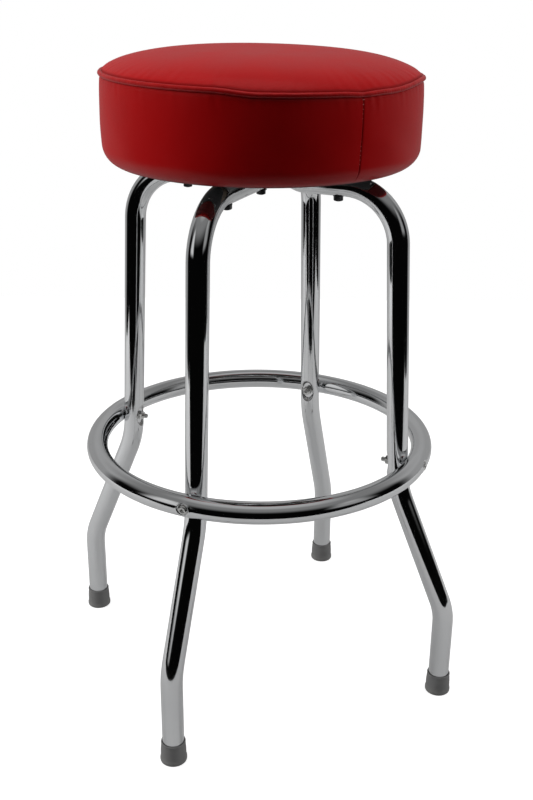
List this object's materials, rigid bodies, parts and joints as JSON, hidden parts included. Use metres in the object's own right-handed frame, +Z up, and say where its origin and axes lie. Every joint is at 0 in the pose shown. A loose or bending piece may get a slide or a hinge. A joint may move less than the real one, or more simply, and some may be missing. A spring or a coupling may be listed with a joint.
{
  "type": "swivel bar stool with foot ring",
  "caption": "Round padded bar stool: a vinyl box seat turns on a ball-bearing swivel over bent chrome tube legs tied by a chrome foot ring.",
  "frame": {"origin": "on the floor, on the seat's turning axis, in the middle of the four feet", "axes": "+Z up; the legs stand on the diagonals, the front leg towards -X -Y and the right leg towards +X -Y"},
  "size_m": [0.4292, 0.4292, 0.7773],
  "materials": {
    "chrome_legs": "bright chrome plate",
    "chrome_ring": "bright chrome plate",
    "rubber": "matt moulded rubber",
    "zinc_steel": "bright zinc plate",
    "dark_steel": "oiled steel",
    "black_plate": "black paint",
    "bearing_steel": "polished",
    "cage_brass": "stamped",
    "nylon": "moulded",
    "plywood": "sanded, unfinished",
    "foam": "open-cell foam",
    "red_vinyl": "glossy grained vinyl",
    "red_piping": "glossy vinyl-covered cord",
    "black_cloth": "non-woven cloth"
  },
  "bodies": {
    "base": {"leg_frame_front_rear": "chrome_legs", "leg_frame_left_right": "chrome_legs", "foot_ring": "chrome_ring", "foot_tip_front": "rubber", "foot_tip_right": "rubber", "foot_tip_rear": "rubber", "foot_tip_left": "rubber", "foot_tip_washers": "zinc_steel", "ring_bolts": "zinc_steel", "ring_washers": "zinc_steel", "ring_nuts": "zinc_steel", "frame_bolts": "dark_steel", "frame_washers": "zinc_steel", "frame_nuts": "dark_steel", "swivel_base_plate": "black_plate", "kingpin": "dark_steel", "kingpin_washer": "zinc_steel", "kingpin_nut": "dark_steel"},
    "cage": {"ball_cage": "cage_brass", "bearing_balls": "bearing_steel"},
    "seat": {"swivel_top_plate": "black_plate", "pivot_bushing": "nylon", "seat_screws": "zinc_steel", "seat_board": "plywood", "seat_foam": "foam", "seat_top_panel": "red_vinyl", "seat_side_band": "red_vinyl", "seat_piping": "red_piping", "dust_cover": "black_cloth", "cover_staples": "zinc_steel"}
  },
  "joints": [
    {"name": "seat_swivel", "type": "hinge", "parent": "base", "child": "seat", "pos_m": [0, 0, 0.65], "axis": [0, 0, 1], "continuous": true},
    {"name": "cage_roll", "type": "hinge", "parent": "base", "child": "cage", "pos_m": [0, 0, 0.6517], "axis": [0, 0, 1], "continuous": true}
  ],
  "couplings": [
    {"joint": "cage_roll", "follows": "seat_swivel", "ratio": 0.5}
  ]
}
